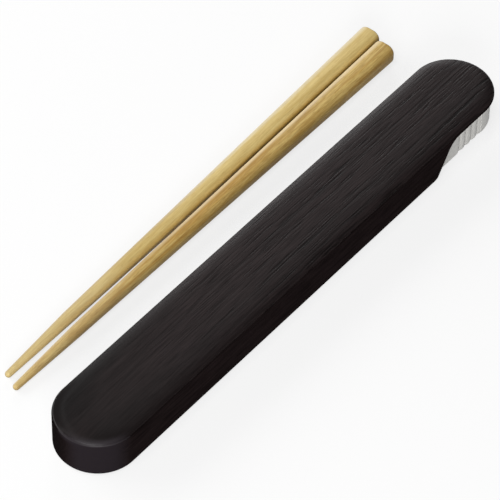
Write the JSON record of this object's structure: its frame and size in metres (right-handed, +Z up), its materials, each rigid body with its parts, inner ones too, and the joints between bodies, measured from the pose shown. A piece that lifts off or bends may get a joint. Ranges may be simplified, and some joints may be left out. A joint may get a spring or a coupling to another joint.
{
  "type": "portable chopstick case",
  "caption": "Slim round-ended chopstick case: a ribbed white tray in a dark wood-grain lid that slides off lengthwise, with wooden chopsticks.",
  "frame": {"origin": "centre of the closed case's underside, on the surface that it rests on", "axes": "+X along the case to the ribbed grip, +Y towards the chopsticks that lie beside it, +Z up"},
  "size_m": [0.197, 0.0566, 0.014],
  "materials": {
    "tray": "satin white moulding",
    "lid": "satin near-black, embossed wood grain on top",
    "wood": "clear-coated pale wood"
  },
  "bodies": {
    "tray": {"tray": "tray"},
    "slide_lid": {"slide_lid": "lid"},
    "chopstick_left": {"chopstick_left": "wood"},
    "chopstick_right": {"chopstick_right": "wood"}
  },
  "joints": [
    {"name": "lid_slide", "type": "slide", "parent": "tray", "child": "slide_lid", "axis": [-1, 0, 0], "range_m": [0, 0.2]},
    {"name": "left_lift", "type": "slide", "parent": "tray", "child": "chopstick_left", "axis": [0, 0, 1], "range_m": [0, 0.1]},
    {"name": "right_lift", "type": "slide", "parent": "tray", "child": "chopstick_right", "axis": [0, 0, 1], "range_m": [0, 0.1]}
  ]
}
